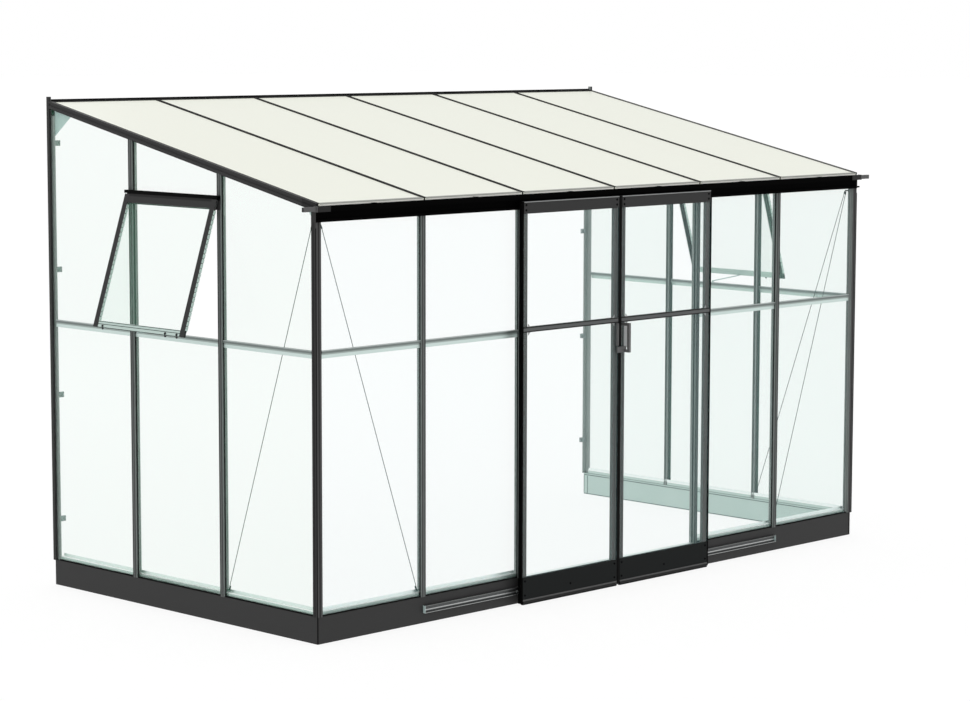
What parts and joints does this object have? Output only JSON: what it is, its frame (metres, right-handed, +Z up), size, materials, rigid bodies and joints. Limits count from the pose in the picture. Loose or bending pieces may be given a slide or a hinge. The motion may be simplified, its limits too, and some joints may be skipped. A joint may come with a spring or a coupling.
{
  "type": "lean-to greenhouse",
  "caption": "Lean-to glass greenhouse with an opal single-slope roof, sliding front doors and a propped-open vent in each gable.",
  "frame": {"origin": "centre of the bounding box at ground level, under the base", "axes": "+X along the front to the right as seen from outside, +Y from the front to the house wall, +Z up"},
  "size_m": [4.2192, 1.983, 2.335],
  "materials": {
    "coated_frame": "dark grey satin powder coat on aluminium",
    "coated_base": "dark grey satin powder coat on folded steel",
    "black_coating": "black satin powder coat",
    "grey_plastic": "grey matte",
    "bare_aluminium": "mill finish",
    "galvanised_steel": "zinc coated",
    "clear_glass": "clear toughened",
    "opal_sheet": "opal twin-wall sheet",
    "black_rubber": "matte",
    "white_nylon": "matte"
  },
  "bodies": {
    "frame": {"base_front": "coated_base", "base_left": "coated_base", "base_right": "coated_base", "corner_posts": "coated_frame", "wall_posts": "coated_frame", "wall_brackets": "galvanised_steel", "front_bars": "coated_frame", "front_bar_caps": "coated_frame", "gable_bars": "coated_frame", "gable_bar_caps": "coated_frame", "front_sills": "bare_aluminium", "gable_sills": "bare_aluminium", "front_mid_strips": "bare_aluminium", "gable_mid_strips": "bare_aluminium", "eave_beam": "coated_frame", "gutter": "black_coating", "gutter_outlets": "grey_plastic", "door_track": "black_coating", "door_guide_rail": "bare_aluminium", "rafters": "coated_frame", "roof_bars": "coated_frame", "wall_plate": "coated_frame", "roof_panes": "opal_sheet", "roof_edge_strips": "bare_aluminium", "gusset_plates": "galvanised_steel", "front_panes": "clear_glass", "gable_panes": "clear_glass", "brace_wires": "galvanised_steel", "vent_headers": "coated_frame", "vent_stiles": "coated_frame", "vent_top_rails": "coated_frame", "vent_bottom_rails": "bare_aluminium", "vent_panes": "clear_glass", "vent_stays": "galvanised_steel"},
    "left_door": {"left_door_stiles": "coated_frame", "left_door_rails": "coated_frame", "left_door_panes": "clear_glass", "left_door_kick_panel": "black_coating", "left_door_seals": "black_rubber", "left_door_runners": "white_nylon", "left_door_pull": "coated_frame"},
    "right_door": {"right_door_stiles": "coated_frame", "right_door_rails": "coated_frame", "right_door_panes": "clear_glass", "right_door_kick_panel": "black_coating", "right_door_seals": "black_rubber", "right_door_runners": "white_nylon", "right_door_handle": "coated_frame"}
  },
  "joints": [
    {"name": "left_door_slide", "type": "slide", "parent": "frame", "child": "left_door", "axis": [-1, 0, 0], "range_m": [0, 0.6]},
    {"name": "right_door_slide", "type": "slide", "parent": "frame", "child": "right_door", "axis": [1, 0, 0], "range_m": [0, 0.6]}
  ]
}
